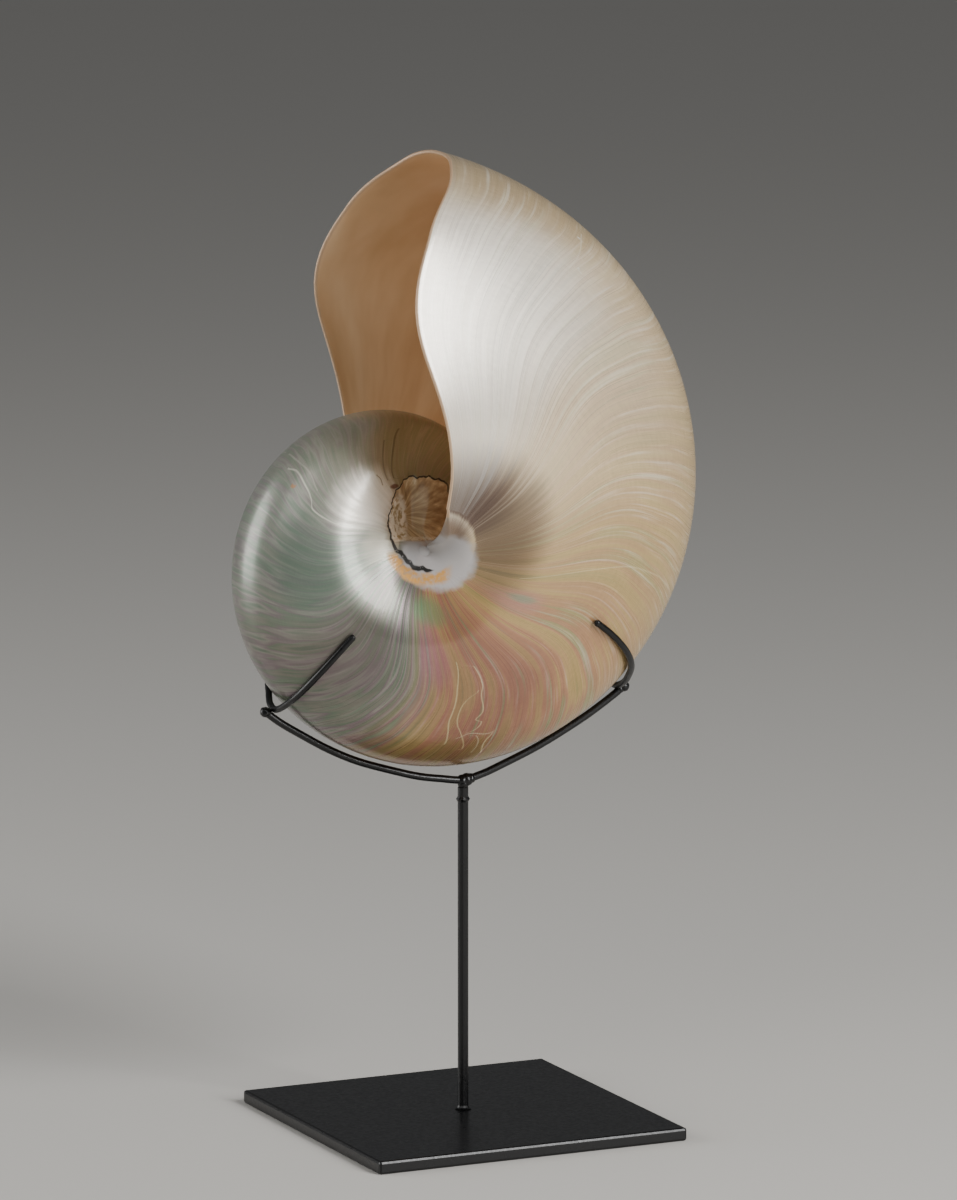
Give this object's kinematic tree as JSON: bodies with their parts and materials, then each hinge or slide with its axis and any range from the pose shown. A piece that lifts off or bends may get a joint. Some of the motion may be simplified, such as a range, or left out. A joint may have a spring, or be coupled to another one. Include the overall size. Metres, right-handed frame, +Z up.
{
  "type": "nautilus shell on a stand",
  "caption": "Polished pearl nautilus shell with an open living chamber, resting in a wire cradle on a post and square steel base.",
  "frame": {"origin": "middle of the base plate's underside, on the post's axis", "axes": "+Z up; X and Y along the plate's edges; the shell coils in the X-Z plane, turned 5 degrees about Z, with its aperture facing -X and up"},
  "size_m": [0.1413, 0.1008, 0.292],
  "materials": {
    "nacre": "polished pearly nacre with green and pink iridescence",
    "black_steel": "satin black painted steel"
  },
  "bodies": {
    "root": {"shell": "nacre", "base_plate": "black_steel", "post": "black_steel", "cradle_spine": "black_steel", "left_claw": "black_steel", "right_claw": "black_steel"}
  },
  "joints": []
}
